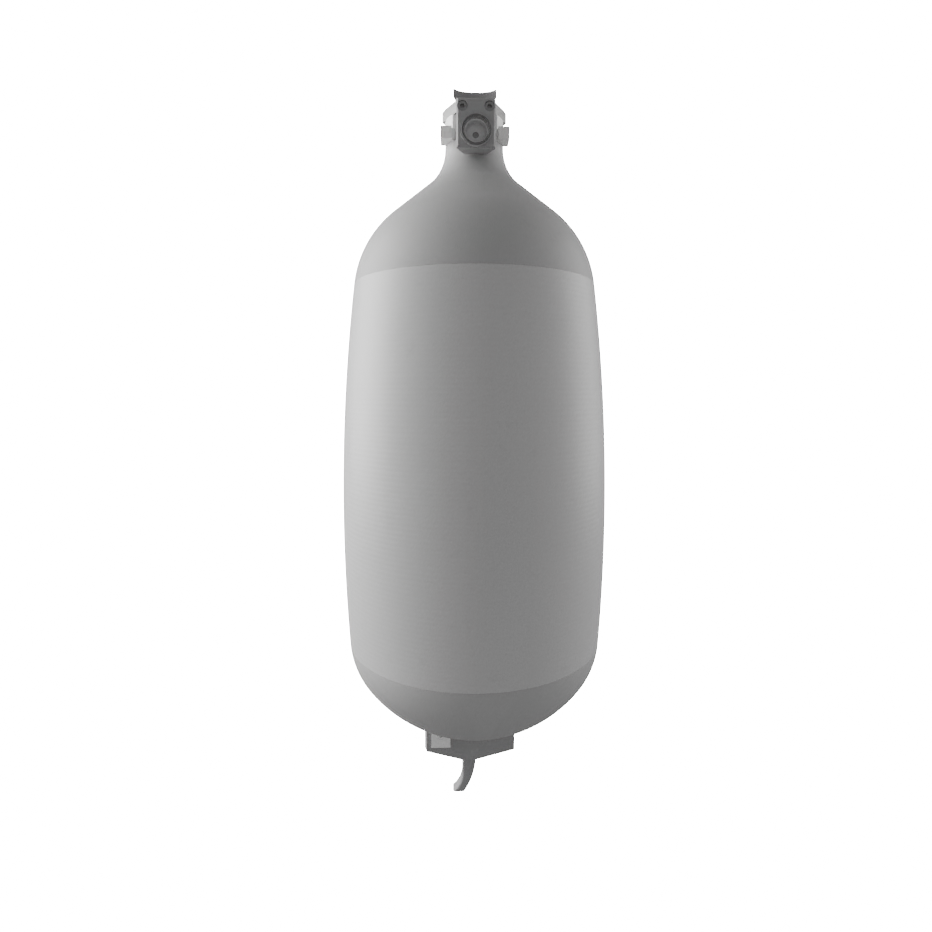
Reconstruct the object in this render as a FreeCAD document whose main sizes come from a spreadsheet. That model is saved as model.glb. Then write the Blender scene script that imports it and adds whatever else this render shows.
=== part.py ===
import FreeCAD, Part
import math
import os
import Sketcher

# Scuba cylinder: an aluminium pressure shell with a hoop-wound composite wrap,
# an upright post valve with a handwheel, a front outlet block and a hooked
# bracket under the base.
#
# Frame: millimetres, +Z up along the cylinder's axis, the outlet faces -Y.
# The origin is on the axis at the middle of the wrapped barrel, where a
# tank band holds the cylinder.

os.makedirs("parts", exist_ok=True)
doc = FreeCAD.newDocument("scuba_tank")
V = FreeCAD.Vector

# ---------------------------------------------------------------- dimensions

DIMENSIONS = [
    # pressure shell and wrap
    ("barrel_radius", 102.0, "largest radius of the wrapped barrel"),
    ("widest_height", -35.0, "height of that largest radius"),
    ("barrel_sweep", 1450.0, "radius of the barrel's gentle bulge"),
    ("wrap_top", 132.0, "upper edge of the wrap"),
    ("wrap_bottom", -142.0, "lower edge of the wrap"),
    ("wrap_thickness", 4.0, "wrap, let flush into the shell"),
    ("shell_wall", 10.0, "shell and wrap together"),
    ("shoulder_radius", 80.0, "convex shoulder"),
    ("shoulder_slope", 49.5, "cone between shoulder and neck, degrees from the axis"),
    ("neck_fillet", 40.0, "concave blend into the neck"),
    ("neck_radius", 22.45, "outside of the neck"),
    ("neck_top", 239.0, "top face of the neck"),
    ("neck_bore", 12.5, "M25 x 2 neck thread, major radius"),
    ("seal_recess_radius", 16.0, "recess for the neck o-ring"),
    ("seal_recess_depth", 3.2, ""),
    ("cap_radius", 108.5, "spherical base cap"),
    ("cap_height", -106.0, "centre of that sphere"),
    ("knuckle_radius", 53.5, "turn from the barrel into the base cap"),
    # valve body
    ("stem_radius", 12.45, "threaded stem in the neck"),
    ("stem_length", 30.0, ""),
    ("trunk_radius", 22.4, "round trunk of the valve body"),
    ("trunk_top", 258.0, ""),
    ("ear_reach", 25.7, "half width across the two ears"),
    ("ear_front", 19.0, "front face of the ears"),
    ("ear_back", 5.0, "back face of the ears"),
    ("ear_top", 248.0, ""),
    ("channel_half", 17.4, "half width of the channel that takes the outlet block"),
    ("block_seat", 15.0, "flat seat of the outlet block"),
    ("inlet_radius", 3.0, "gas way up from the cylinder"),
    ("dip_socket_radius", 5.0, ""),
    ("dip_socket_depth", 14.0, ""),
    ("dip_tube_bore", 3.4, ""),
    ("dip_tube_length", 62.0, ""),
    ("chamber_floor", 246.0, "floor of the seat chamber"),
    ("chamber_radius", 7.0, ""),
    ("seat_height", 1.0, "raised knife-edge seat"),
    ("seat_radius", 4.0, ""),
    ("seat_orifice", 2.4, ""),
    ("bonnet_socket_radius", 11.0, "bonnet thread"),
    ("bonnet_socket_floor", 252.3, ""),
    ("bonnet_seal_radius", 13.4, ""),
    ("bonnet_seal_depth", 2.1, ""),
    ("port_radius", 2.0, "gas way to the outlet block"),
    ("port_height", 249.5, ""),
    # bonnet, spindle and seat plug
    ("bonnet_corner", 24.7, "hexagon, centre to corner"),
    ("bonnet_hex_height", 8.6, ""),
    ("bonnet_boss_radius", 9.0, ""),
    ("bonnet_top", 268.3, ""),
    ("bonnet_cavity_radius", 7.2, ""),
    ("bonnet_cavity_top", 264.9, ""),
    ("spindle_radius", 3.5, ""),
    ("running_clearance", 0.1, "radial, spindle in bonnet"),
    ("loose_clearance", 0.2, "round screws, under nuts and beside soft pieces"),
    ("seal_clearance", 0.1, "round the neck o-ring"),
    ("fine_clearance", 0.05, "between pieces that all but touch"),
    ("overrun", 1.0, "how far a cut runs past the face it opens"),
    ("datum", 0.0, "base level of a turned profile"),
    ("seat_web", 2.0, "metal under the seat"),
    ("seat_lip", 0.6, "slope of the seat"),
    ("bonnet_hex_chamfer", 2.0, "corners of the bonnet's hexagon"),
    ("cap_nut_chamfer", 1.2, "corners of the cap nut"),
    ("port_seal_wire", 1.5, "wire of the port's o-ring"),
    ("port_groove_width", 2.4, "groove for it, beyond the port"),
    ("base_hole_overrun", 5.0, "base screw holes run this far below the base"),
    ("spindle_groove_radius", 5.6, "o-ring groove in the bonnet"),
    ("spindle_groove_bottom", 265.6, ""),
    ("spindle_groove_height", 1.9, ""),
    ("flange_radius", 6.4, "thrust flange of the spindle"),
    ("flange_bottom", 262.7, ""),
    ("flange_top", 264.1, ""),
    ("washer_thickness", 0.7, ""),
    ("tang_width", 5.0, "square tang that turns the seat plug"),
    ("tang_bottom", 255.1, ""),
    ("plug_radius", 6.7, ""),
    ("plug_bottom", 247.8, ""),
    ("plug_top", 258.5, ""),
    ("plug_socket_width", 5.3, ""),
    ("plug_socket_floor", 251.0, ""),
    ("insert_radius", 4.5, "soft seat insert"),
    ("insert_bottom", 247.15, "closed position"),
    ("insert_top", 249.75, ""),
    # handwheel
    ("wheel_bottom", 268.8, ""),
    ("wheel_height", 6.5, ""),
    ("wheel_corner", 16.2, "corner of the wheel's square, each way"),
    ("wheel_hollow", 40.0, "radius of the four concave sides"),
    ("drive_square", 5.6, "square of the spindle in the wheel"),
    ("drive_square_hole", 5.7, ""),
    ("hub_floor", 271.6, "floor of the spring recess in the wheel"),
    ("hub_recess_radius", 7.6, ""),
    ("spindle_neck_radius", 2.9, ""),
    ("spindle_thread_radius", 2.5, ""),
    ("spindle_top", 277.6, ""),
    ("spring_bore", 3.1, "conical spring washer, small end"),
    ("spring_rim", 5.4, ""),
    ("spring_gauge", 0.5, ""),
    ("cap_washer_bottom", 273.3, ""),
    ("cap_washer_thickness", 0.8, ""),
    ("cap_washer_radius", 5.5, ""),
    ("cap_nut_corner", 6.9, ""),
    ("cap_nut_height", 4.4, ""),
    # outlet block
    ("block_half", 14.0, "half width of the outlet block"),
    ("block_front", 38.0, ""),
    ("block_relief", 25.0, "back of the slab, clear of neck and bonnet"),
    ("block_bottom", 225.0, ""),
    ("block_top", 259.6, ""),
    ("block_foot", 239.3, "underside of the part that fills the channel"),
    ("block_shoulder", 257.7, ""),
    ("block_chamfer", 1.2, ""),
    ("block_lip", 35.8, "the foot tapers from here back to the relief"),
    ("block_foot_half", 7.5, "half width of the foot at its back"),
    ("outlet_height", 236.9, "axis of the outlet"),
    ("outlet_boss_radius", 11.6, "raised sealing face"),
    ("outlet_boss_height", 1.2, ""),
    ("outlet_radius", 8.33, "G 3/8 thread, major radius"),
    ("outlet_depth", 10.0, ""),
    ("outlet_seal_radius", 10.0, "o-ring in the sealing face"),
    ("outlet_seal_wire", 0.8, ""),
    ("drilling_front", 31.0, "vertical drilling inside the block"),
    ("plug_screw_radius", 3.0, "M6 plug that closes the drilling"),
    ("plug_screw_length", 5.0, ""),
    ("block_screw_spacing", 9.7, "two M4 socket screws, each side of the middle"),
    ("block_screw_height", 253.8, ""),
    ("block_screw_radius", 2.0, ""),
    ("block_screw_head", 3.5, ""),
    ("block_screw_head_height", 4.0, ""),
    ("block_screw_sink", 4.6, ""),
    ("block_screw_tip", 10.0, ""),
    ("hex_socket", 1.75, "hexagon sockets, centre to corner"),
    # burst disc at the back of the valve body
    ("burst_height", 243.4, ""),
    ("burst_seat", 15.5, ""),
    ("burst_thread_radius", 4.0, ""),
    ("burst_disc_thickness", 0.4, ""),
    ("burst_gasket_thickness", 0.8, ""),
    ("burst_head_corner", 5.6, ""),
    ("burst_head_height", 4.0, ""),
    ("burst_vent_radius", 1.6, ""),
    # hooked bracket under the base
    ("bracket_left", -39.9, ""),
    ("bracket_right", 31.6, ""),
    ("bracket_half_depth", 13.0, ""),
    ("bracket_foot", -233.4, "lower corner of both arms"),
    ("bracket_waist", -241.2, "where the arms meet the tail"),
    ("bracket_chamfer", 5.4, "cut corners of the left arm, along the arm"),
    ("bracket_chamfer_depth", 1.8, "and across it"),
    ("pad_thickness", 2.0, "rubber pad against the base"),
    ("tail_left", -9.9, "hooked tail, straight part"),
    ("tail_right", 1.3, ""),
    ("tail_half_depth", 5.6, ""),
    ("tail_inner_top", -256.7, "where the hollow side starts to curve"),
    ("tail_inner_radius", 20.6, ""),
    ("tail_outer_top", -243.2, "where the outer side starts to curve"),
    ("tail_outer_radius", 52.7, ""),
    ("tail_end", -272.6, ""),
    ("tail_rounding", 2.0, ""),
    ("bracket_screw_left", -27.0, ""),
    ("bracket_screw_right", 19.0, ""),
    ("bracket_screw_radius", 3.0, ""),
    ("bracket_screw_head", 5.0, ""),
    ("bracket_screw_head_height", 6.0, ""),
    ("bracket_screw_grip", 9.0, "bracket and pad between head and shell"),
    ("bracket_screw_bite", 7.0, "thread in the shell"),
    # steel clip on the left arm
    ("clip_left", -34.3, ""),
    ("clip_width", 15.0, ""),
    ("clip_bottom", -230.0, ""),
    ("clip_height", 13.0, ""),
    ("clip_thickness", 1.5, ""),
    ("clip_screw_radius", 1.5, ""),
    ("clip_screw_head", 2.8, ""),
    ("clip_screw_head_height", 1.6, ""),
    ("clip_screw_length", 7.0, ""),
]

dims = doc.addObject("Spreadsheet::Sheet", "dims")
for row, (alias, size, note) in enumerate(DIMENSIONS, start=1):
    dims.set("A%d" % row, alias)
    dims.set("B%d" % row, str(size))
    dims.setAlias("B%d" % row, alias)
    dims.set("C%d" % row, note)
doc.recompute()

# ------------------------------------------------------------------- helpers

TURN = {
    "up": FreeCAD.Rotation(),
    "down": FreeCAD.Rotation(V(1, 0, 0), 180),
    "front": FreeCAD.Rotation(V(1, 0, 0), 90),
    "back": FreeCAD.Rotation(V(1, 0, 0), -90),
}


def number(text):
    """Value of an expression over the sheet's cells."""
    return float(dims.evalExpression(text.replace("dims.", "")))


def place(piece, x="0", y="0", z="0", along="up"):
    """Put a piece's own origin at x, y, z, its own +Z pointing along."""
    piece.Placement = FreeCAD.Placement(V(number(x), number(y), number(z)), TURN[along])
    for letter, text in (("x", x), ("y", y), ("z", z)):
        if text != "0":
            piece.setExpression("Placement.Base." + letter, text)
    return piece


def primitive(kind, name, sizes, **where):
    """A Part primitive whose sizes and place follow the sheet."""
    piece = doc.addObject("Part::" + kind, name)
    for prop, text in sizes.items():
        piece.setExpression(prop, text)
    return place(piece, **where)


def cylinder(name, radius, height, **where):
    return primitive("Cylinder", name, {"Radius": radius, "Height": height}, **where)


def box(name, x, y, z):
    """Box between pairs of expressions (low, high) on each axis."""
    sizes = {}
    for prop, (low, high) in (("Length", x), ("Width", y), ("Height", z)):
        sizes[prop] = "(%s) - (%s)" % (high, low)
    return primitive("Box", name, sizes, x=x[0], y=y[0], z=z[0])


def hexagon(name, corner, height, **where):
    piece = primitive("Prism", name, {"Circumradius": corner, "Height": height}, **where)
    piece.Polygon = 6
    return piece


def o_ring(name, radius, wire, **where):
    return primitive("Torus", name, {"Radius1": radius, "Radius2": wire}, **where)


def joined(name, shapes):
    piece = doc.addObject("Part::MultiFuse", name)
    piece.Shapes = shapes
    return piece


def cut(name, base, tools):
    """Base with one or more tools taken away."""
    piece = doc.addObject("Part::Cut", name)
    piece.Base = base
    piece.Tool = tools[0] if len(tools) == 1 else joined(name + "_tools", tools)
    return piece


def common(name, base, tool):
    piece = doc.addObject("Part::Common", name)
    piece.Base = base
    piece.Tool = tool
    return piece


def sketch_on(body, role, name):
    plane = next(f for f in body.Origin.OriginFeatures if f.Role == role)
    sketch = body.newObject("Sketcher::SketchObject", name)
    sketch.AttachmentSupport = (plane, [""])
    sketch.MapMode = "FlatFace"
    return sketch


def pin(sketch, edge, end, x=None, y=None):
    """Fix a point of an edge at expressions x and y of the sketch."""
    for kind, axis, text in (("DistanceX", -2, x), ("DistanceY", -1, y)):
        if text is None:
            continue
        if text == "0":
            sketch.addConstraint(Sketcher.Constraint("PointOnObject", edge, end, axis))
            continue
        rule = Sketcher.Constraint(kind, -1, 1, edge, end, number(text))
        sketch.setExpression("Constraints[%d]" % sketch.addConstraint(rule), text)


def measure(sketch, kind, edge, text):
    """Drive an edge's radius or angle by an expression."""
    angle = math.radians(number(text)) if kind == "Angle" else number(text)
    rule = Sketcher.Constraint(kind, edge, angle)
    suffix = " * 1 deg" if kind == "Angle" else ""
    sketch.setExpression("Constraints[%d]" % sketch.addConstraint(rule), "(" + text + ")" + suffix)


def polygon(sketch, corners):
    """Closed polygon through corners, each a pair of expressions."""
    points = [V(number(x), number(y), 0) for x, y in corners]
    count = len(points)
    for i in range(count):
        sketch.addGeometry(Part.LineSegment(points[i], points[(i + 1) % count]), False)
    for i in range(count):
        follows = (i + 1) % count
        sketch.addConstraint(Sketcher.Constraint("Coincident", i, 2, follows, 1))
    for i, (x, y) in enumerate(corners):
        pin(sketch, i, 1, x, y)


def spin(body, sketch, kind="Revolution"):
    feature = body.newObject("PartDesign::" + kind, sketch.Name + "_spin")
    feature.Profile = sketch
    feature.ReferenceAxis = (sketch, ["V_Axis"])
    feature.Angle = 360
    return feature


def turned(name, corners, **where):
    """A turned piece: a polygon of (radius, height) corners about its own Z."""
    body = doc.addObject("PartDesign::Body", name)
    sketch = sketch_on(body, "XZ_Plane", name + "_profile")
    polygon(sketch, corners)
    spin(body, sketch)
    if where:
        place(body, **where)
    return body


def arc(centre, start, end):
    """Counter-clockwise arc about a centre, from start to end."""
    radius = (start - centre).Length
    begins = math.atan2(start.y - centre.y, start.x - centre.x)
    ends = math.atan2(end.y - centre.y, end.x - centre.x)
    return Part.ArcOfCircle(Part.Circle(centre, V(0, 0, 1), radius), begins, ends)


# ------------------------------------------------------------ cylinder_shell

SHOULDER_CENTRE = (
    "dims.wrap_top - dims.shoulder_radius"
    " * (dims.wrap_top - dims.widest_height) / dims.barrel_sweep"
)


def tank_outline(sketch, inset):
    """Base cap, knuckle, barrel, shoulder and cone, all set in by inset.

    Returns the number of the last edge, the cone, whose far end is left free.
    """
    depth = number(inset)
    sweep = number("dims.barrel_sweep")
    slope = math.radians(number("dims.shoulder_slope"))
    cap = V(0, number("dims.cap_height"), 0)
    bulge = V(number("dims.barrel_radius") - sweep, number("dims.widest_height"), 0)
    wrap_edge = number("dims.wrap_top")
    lean = math.asin((wrap_edge - bulge.y) / sweep)
    shoulder_size = number("dims.shoulder_radius")
    shoulder = bulge + V(math.cos(lean), math.sin(lean), 0) * (sweep - shoulder_size)
    knuckle_size = number("dims.knuckle_radius")
    # the knuckle's centre lies inside both the cap and the bulge by its radius
    gap = cap - bulge
    far = sweep - knuckle_size
    near = number("dims.cap_radius") - knuckle_size
    along = (far ** 2 - near ** 2 + gap.Length ** 2) / (2 * gap.Length)
    aside = math.sqrt(far ** 2 - along ** 2)
    unit = gap / gap.Length
    knuckle = bulge + unit * along + V(-unit.y, unit.x, 0) * aside
    if knuckle.y > cap.y:
        knuckle = bulge + unit * along - V(-unit.y, unit.x, 0) * aside

    def on(centre, other, radius):
        """Point of a circle, on the line from another centre through its own."""
        away = centre - other
        return centre + away * (radius / away.Length)

    foot = cap - V(0, number("dims.cap_radius") - depth, 0)
    cap_end = on(knuckle, cap, knuckle_size - depth)
    barrel_start = on(knuckle, bulge, knuckle_size - depth)
    barrel_end = on(shoulder, bulge, shoulder_size - depth)
    cone_start = shoulder + V(math.cos(slope), math.sin(slope), 0) * (shoulder_size - depth)
    cone_end = cone_start + V(-math.sin(slope), math.cos(slope), 0) * 35
    sketch.addGeometry(arc(cap, foot, cap_end), False)
    sketch.addGeometry(arc(knuckle, cap_end, barrel_start), False)
    sketch.addGeometry(arc(bulge, barrel_start, barrel_end), False)
    sketch.addGeometry(arc(shoulder, barrel_end, cone_start), False)
    sketch.addGeometry(Part.LineSegment(cone_start, cone_end), False)
    for edge, end, start in ((0, 2, 1), (1, 2, 1), (2, 2, 1), (3, 2, 1)):
        sketch.addConstraint(Sketcher.Constraint("Tangent", edge, end, edge + 1, start))
    pin(sketch, 0, 1, x="0")
    pin(sketch, 0, 3, x="0", y="dims.cap_height")
    pin(sketch, 2, 3, x="dims.barrel_radius - dims.barrel_sweep", y="dims.widest_height")
    pin(sketch, 3, 3, y=SHOULDER_CENTRE)
    for edge, size in enumerate(("cap_radius", "knuckle_radius", "barrel_sweep", "shoulder_radius")):
        measure(sketch, "Radius", edge, "dims.%s - (%s)" % (size, inset))
    measure(sketch, "Angle", 4, "90 + dims.shoulder_slope")
    return 4


shell = doc.addObject("PartDesign::Body", "cylinder_shell")
skin = sketch_on(shell, "XZ_Plane", "shell_outside")
cone = tank_outline(skin, "0")
neck_r = number("dims.neck_radius")
fillet_r = number("dims.neck_fillet")
slope_angle = math.radians(number("dims.shoulder_slope"))
cone_line = skin.Geometry[cone]
reach = (cone_line.StartPoint.x - neck_r) / math.tan(slope_angle)
crossing = V(neck_r, cone_line.StartPoint.y + reach, 0)
tangent_run = fillet_r * math.tan(slope_angle / 2)
blend_centre = crossing + V(fillet_r, tangent_run, 0)
blend_top = crossing + V(0, tangent_run, 0)
blend_start = crossing + V(math.sin(slope_angle), -math.cos(slope_angle), 0) * tangent_run
blend = skin.addGeometry(arc(blend_centre, blend_top, blend_start), False)
skin.addConstraint(Sketcher.Constraint("Tangent", cone, 2, blend, 2))
measure(skin, "Radius", blend, "dims.neck_fillet")
pin(skin, blend, 1, x="dims.neck_radius")
pin(skin, blend, 3, x="dims.neck_radius + dims.neck_fillet")
mouth_height = number("dims.neck_top")
neck_line = Part.LineSegment(blend_top, V(neck_r, mouth_height, 0))
neck = skin.addGeometry(neck_line, False)
skin.addConstraint(Sketcher.Constraint("Coincident", blend, 1, neck, 1))
pin(skin, neck, 2, x="dims.neck_radius", y="dims.neck_top")
mouth = skin.addGeometry(Part.LineSegment(V(neck_r, mouth_height, 0), V(0, mouth_height, 0)), False)
skin.addConstraint(Sketcher.Constraint("Coincident", neck, 2, mouth, 1))
pin(skin, mouth, 2, x="0", y="dims.neck_top")
spine_line = Part.LineSegment(V(0, mouth_height, 0), skin.Geometry[0].StartPoint)
spine = skin.addGeometry(spine_line, False)
skin.addConstraint(Sketcher.Constraint("Coincident", mouth, 2, spine, 1))
skin.addConstraint(Sketcher.Constraint("Coincident", spine, 2, 0, 1))
spin(shell, skin)
doc.recompute()
solid_volume = shell.Shape.Volume

# gas space: the same outline set in by the wall, closed to the axis at the bore
cavity = sketch_on(shell, "XZ_Plane", "gas_space")
cone = tank_outline(cavity, "dims.shell_wall")
pin(cavity, cone, 2, x="dims.neck_bore")
doc.recompute()
throat = cavity.Geometry[cone].EndPoint
lid = cavity.addGeometry(Part.LineSegment(throat, V(0, throat.y, 0)), False)
cavity.addConstraint(Sketcher.Constraint("Coincident", cone, 2, lid, 1))
cavity.addConstraint(Sketcher.Constraint("Horizontal", lid))
cavity.addConstraint(Sketcher.Constraint("PointOnObject", lid, 2, -2))
spine = cavity.addGeometry(Part.LineSegment(V(0, throat.y, 0), cavity.Geometry[0].StartPoint), False)
cavity.addConstraint(Sketcher.Constraint("Coincident", lid, 2, spine, 1))
cavity.addConstraint(Sketcher.Constraint("Coincident", spine, 2, 0, 1))
spin(shell, cavity, "Groove")
doc.recompute()
gas_volume = solid_volume - shell.Shape.Volume
print("gas space, litres: %.2f" % (gas_volume / 1e6))

# threaded bore with the recess of the neck o-ring
bore = sketch_on(shell, "XZ_Plane", "neck_bore")
polygon(bore, [
    ("0", "dims.neck_top - 2 * dims.stem_length"),
    ("dims.neck_bore", "dims.neck_top - 2 * dims.stem_length"),
    ("dims.neck_bore", "dims.neck_top - dims.seal_recess_depth"),
    ("dims.seal_recess_radius", "dims.neck_top - dims.seal_recess_depth"),
    ("dims.seal_recess_radius", "dims.neck_top"),
    ("0", "dims.neck_top"),
])
spin(shell, bore, "Groove")


def bulge_band(sketch, thickness):
    """Closed band between the barrel's surface and a concentric inner arc."""
    centre_x = number("dims.barrel_radius - dims.barrel_sweep")
    bulge = V(centre_x, number("dims.widest_height"), 0)
    ends = (number("dims.wrap_bottom"), number("dims.wrap_top"))
    rims = []
    for inset in ("0", thickness):
        size = number("dims.barrel_sweep") - number(inset)
        span = [V(centre_x + math.sqrt(size ** 2 - (z - bulge.y) ** 2), z, 0) for z in ends]
        rims.append(span)
        edge = sketch.addGeometry(arc(bulge, *span), False)
        pin(sketch, edge, 3, x="dims.barrel_radius - dims.barrel_sweep", y="dims.widest_height")
        measure(sketch, "Radius", edge, "dims.barrel_sweep - (%s)" % inset)
        pin(sketch, edge, 1, y="dims.wrap_bottom")
        pin(sketch, edge, 2, y="dims.wrap_top")
    for end in (1, 2):
        rim = sketch.addGeometry(Part.LineSegment(rims[0][end - 1], rims[1][end - 1]), False)
        sketch.addConstraint(Sketcher.Constraint("Coincident", 0, end, rim, 1))
        sketch.addConstraint(Sketcher.Constraint("Coincident", 1, end, rim, 2))


recess = sketch_on(shell, "XZ_Plane", "wrap_recess")
bulge_band(recess, "dims.wrap_thickness")
spin(shell, recess, "Groove")

# blind tapped holes for the bracket screws, in the base
doc.recompute()
base_holes = []
for side in ("left", "right"):
    screw_x = "dims.bracket_screw_" + side
    base_level = "dims.cap_height - sqrt(dims.cap_radius ^ 2 - (%s) ^ 2)" % screw_x
    hole = cylinder(
        "base_hole_" + side, "dims.bracket_screw_radius",
        "dims.bracket_screw_bite + dims.base_hole_overrun",
        x=screw_x, z=base_level + " - dims.base_hole_overrun",
    )
    base_holes.append(hole)
shell.Label = "shell_turning"
tapped_shell = cut("tapped_shell", shell, base_holes)

# ------------------------------------------------------------ composite_wrap

wrap = doc.addObject("PartDesign::Body", "composite_wrap")
wrap_section = sketch_on(wrap, "XZ_Plane", "wrap_section")
bulge_band(wrap_section, "dims.wrap_thickness")
spin(wrap, wrap_section)

# ---------------------------------------------------------------- valve_body

trunk = turned("trunk", [
    ("0", "dims.neck_top - dims.stem_length"),
    ("dims.stem_radius", "dims.neck_top - dims.stem_length"),
    ("dims.stem_radius", "dims.neck_top"),
    ("dims.trunk_radius", "dims.neck_top"),
    ("dims.trunk_radius", "dims.trunk_top"),
    ("0", "dims.trunk_top"),
])
ears = box(
    "ears",
    ("-dims.ear_reach", "dims.ear_reach"),
    ("-dims.ear_front", "-dims.ear_back"),
    ("dims.neck_top", "dims.ear_top"),
)
channel = box(
    "channel",
    ("-dims.channel_half", "dims.channel_half"),
    ("-2 * dims.ear_front", "-dims.block_seat"),
    ("dims.neck_top", "dims.trunk_top"),
)
inner_ways = turned("valve_inner_ways", [
    ("0", "dims.neck_top - dims.stem_length"),
    ("dims.dip_socket_radius", "dims.neck_top - dims.stem_length"),
    ("dims.dip_socket_radius", "dims.neck_top - dims.stem_length + dims.dip_socket_depth"),
    ("dims.inlet_radius", "dims.neck_top - dims.stem_length + dims.dip_socket_depth"),
    ("dims.inlet_radius", "dims.chamber_floor - dims.seat_web"),
    ("dims.seat_orifice", "dims.chamber_floor - dims.seat_web"),
    ("dims.seat_orifice", "dims.chamber_floor + dims.seat_height"),
    ("dims.seat_orifice + dims.seat_lip", "dims.chamber_floor + dims.seat_height"),
    ("dims.seat_radius", "dims.chamber_floor"),
    ("dims.chamber_radius", "dims.chamber_floor"),
    ("dims.chamber_radius", "dims.bonnet_socket_floor"),
    ("dims.bonnet_socket_radius", "dims.bonnet_socket_floor"),
    ("dims.bonnet_socket_radius", "dims.trunk_top - dims.bonnet_seal_depth"),
    ("dims.bonnet_seal_radius", "dims.trunk_top - dims.bonnet_seal_depth"),
    ("dims.bonnet_seal_radius", "dims.trunk_top"),
    ("0", "dims.trunk_top"),
])
body_port = cylinder(
    "body_port", "dims.port_radius", "dims.block_seat",
    z="dims.port_height", along="front",
)
body_screw_holes = []
for side, sign in (("left", "-"), ("right", "")):
    hole = cylinder(
        "body_screw_hole_" + side, "dims.block_screw_radius",
        "dims.block_seat - dims.block_screw_tip",
        x=sign + "dims.block_screw_spacing", y="-dims.block_screw_tip",
        z="dims.block_screw_height", along="front",
    )
    body_screw_holes.append(hole)
burst_way = cylinder(
    "burst_way", "dims.port_radius", "dims.burst_seat",
    z="dims.burst_height", along="back",
)
burst_socket = cylinder(
    "burst_socket", "dims.burst_thread_radius", "dims.trunk_radius",
    y="dims.burst_seat", z="dims.burst_height", along="back",
)
valve_body = cut(
    "valve_body",
    joined("valve_forging", [trunk, ears]),
    [channel, inner_ways, body_port, burst_way, burst_socket] + body_screw_holes,
)

neck_o_ring = o_ring(
    "neck_o_ring", "(dims.neck_bore + dims.seal_recess_radius) / 2 + dims.seal_clearance",
    "dims.seal_recess_depth / 2 - dims.seal_clearance",
    z="dims.neck_top - dims.seal_recess_depth / 2",
)

dip_top = "dims.neck_top - dims.stem_length + dims.dip_socket_depth"
dip_tube = turned("dip_tube", [
    ("dims.dip_tube_bore", dip_top + " - dims.dip_tube_length"),
    ("dims.dip_socket_radius", dip_top + " - dims.dip_tube_length"),
    ("dims.dip_socket_radius", dip_top),
    ("dims.dip_tube_bore", dip_top),
])

# ------------------------------------------------------- bonnet and its seals

bonnet_hex = hexagon(
    "bonnet_hex", "dims.bonnet_corner", "dims.bonnet_hex_height", z="dims.trunk_top",
)
bonnet_cone = primitive(
    "Cone", "bonnet_cone",
    {
        "Radius1": "dims.bonnet_corner + 2 * dims.bonnet_hex_height - dims.bonnet_hex_chamfer",
        "Radius2": "dims.bonnet_corner - dims.bonnet_hex_chamfer",
        "Height": "dims.bonnet_hex_height",
    },
    z="dims.trunk_top",
)
bonnet_core = turned("bonnet_core", [
    ("0", "dims.bonnet_socket_floor + dims.loose_clearance"),
    ("dims.bonnet_socket_radius - dims.fine_clearance", "dims.bonnet_socket_floor + dims.loose_clearance"),
    ("dims.bonnet_socket_radius - dims.fine_clearance", "dims.trunk_top + 1"),
    ("dims.bonnet_boss_radius", "dims.trunk_top + 1"),
    ("dims.bonnet_boss_radius", "dims.bonnet_top"),
    ("0", "dims.bonnet_top"),
])
bonnet_bore = turned("bonnet_bore", [
    ("0", "dims.bonnet_socket_floor"),
    ("dims.bonnet_cavity_radius", "dims.bonnet_socket_floor"),
    ("dims.bonnet_cavity_radius", "dims.bonnet_cavity_top"),
    ("dims.spindle_radius + dims.running_clearance", "dims.bonnet_cavity_top"),
    ("dims.spindle_radius + dims.running_clearance", "dims.spindle_groove_bottom"),
    ("dims.spindle_groove_radius", "dims.spindle_groove_bottom"),
    ("dims.spindle_groove_radius", "dims.spindle_groove_bottom + dims.spindle_groove_height"),
    (
        "dims.spindle_radius + dims.running_clearance",
        "dims.spindle_groove_bottom + dims.spindle_groove_height",
    ),
    ("dims.spindle_radius + dims.running_clearance", "dims.bonnet_top"),
    ("0", "dims.bonnet_top"),
])
bonnet_nut = cut(
    "bonnet_nut",
    joined("bonnet_solid", [common("bonnet_crown", bonnet_hex, bonnet_cone), bonnet_core]),
    [bonnet_bore],
)
bonnet_o_ring = o_ring(
    "bonnet_o_ring", "(dims.bonnet_socket_radius + dims.bonnet_seal_radius) / 2",
    "(dims.bonnet_seal_radius - dims.bonnet_socket_radius) / 2 - dims.loose_clearance",
    z="dims.trunk_top - dims.bonnet_seal_depth / 2",
)
spindle_o_ring = o_ring(
    "spindle_o_ring",
    "(dims.spindle_groove_radius + dims.spindle_radius + dims.running_clearance) / 2",
    "dims.spindle_groove_height / 2 - dims.fine_clearance",
    z="dims.spindle_groove_bottom + dims.spindle_groove_height / 2",
)
thrust_washer = turned("thrust_washer", [
    ("dims.spindle_radius + dims.loose_clearance", "dims.bonnet_cavity_top - dims.washer_thickness"),
    ("dims.flange_radius", "dims.bonnet_cavity_top - dims.washer_thickness"),
    ("dims.flange_radius", "dims.bonnet_cavity_top"),
    ("dims.spindle_radius + dims.loose_clearance", "dims.bonnet_cavity_top"),
])

# ------------------------------------------- spindle, seat plug, seat insert

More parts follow.
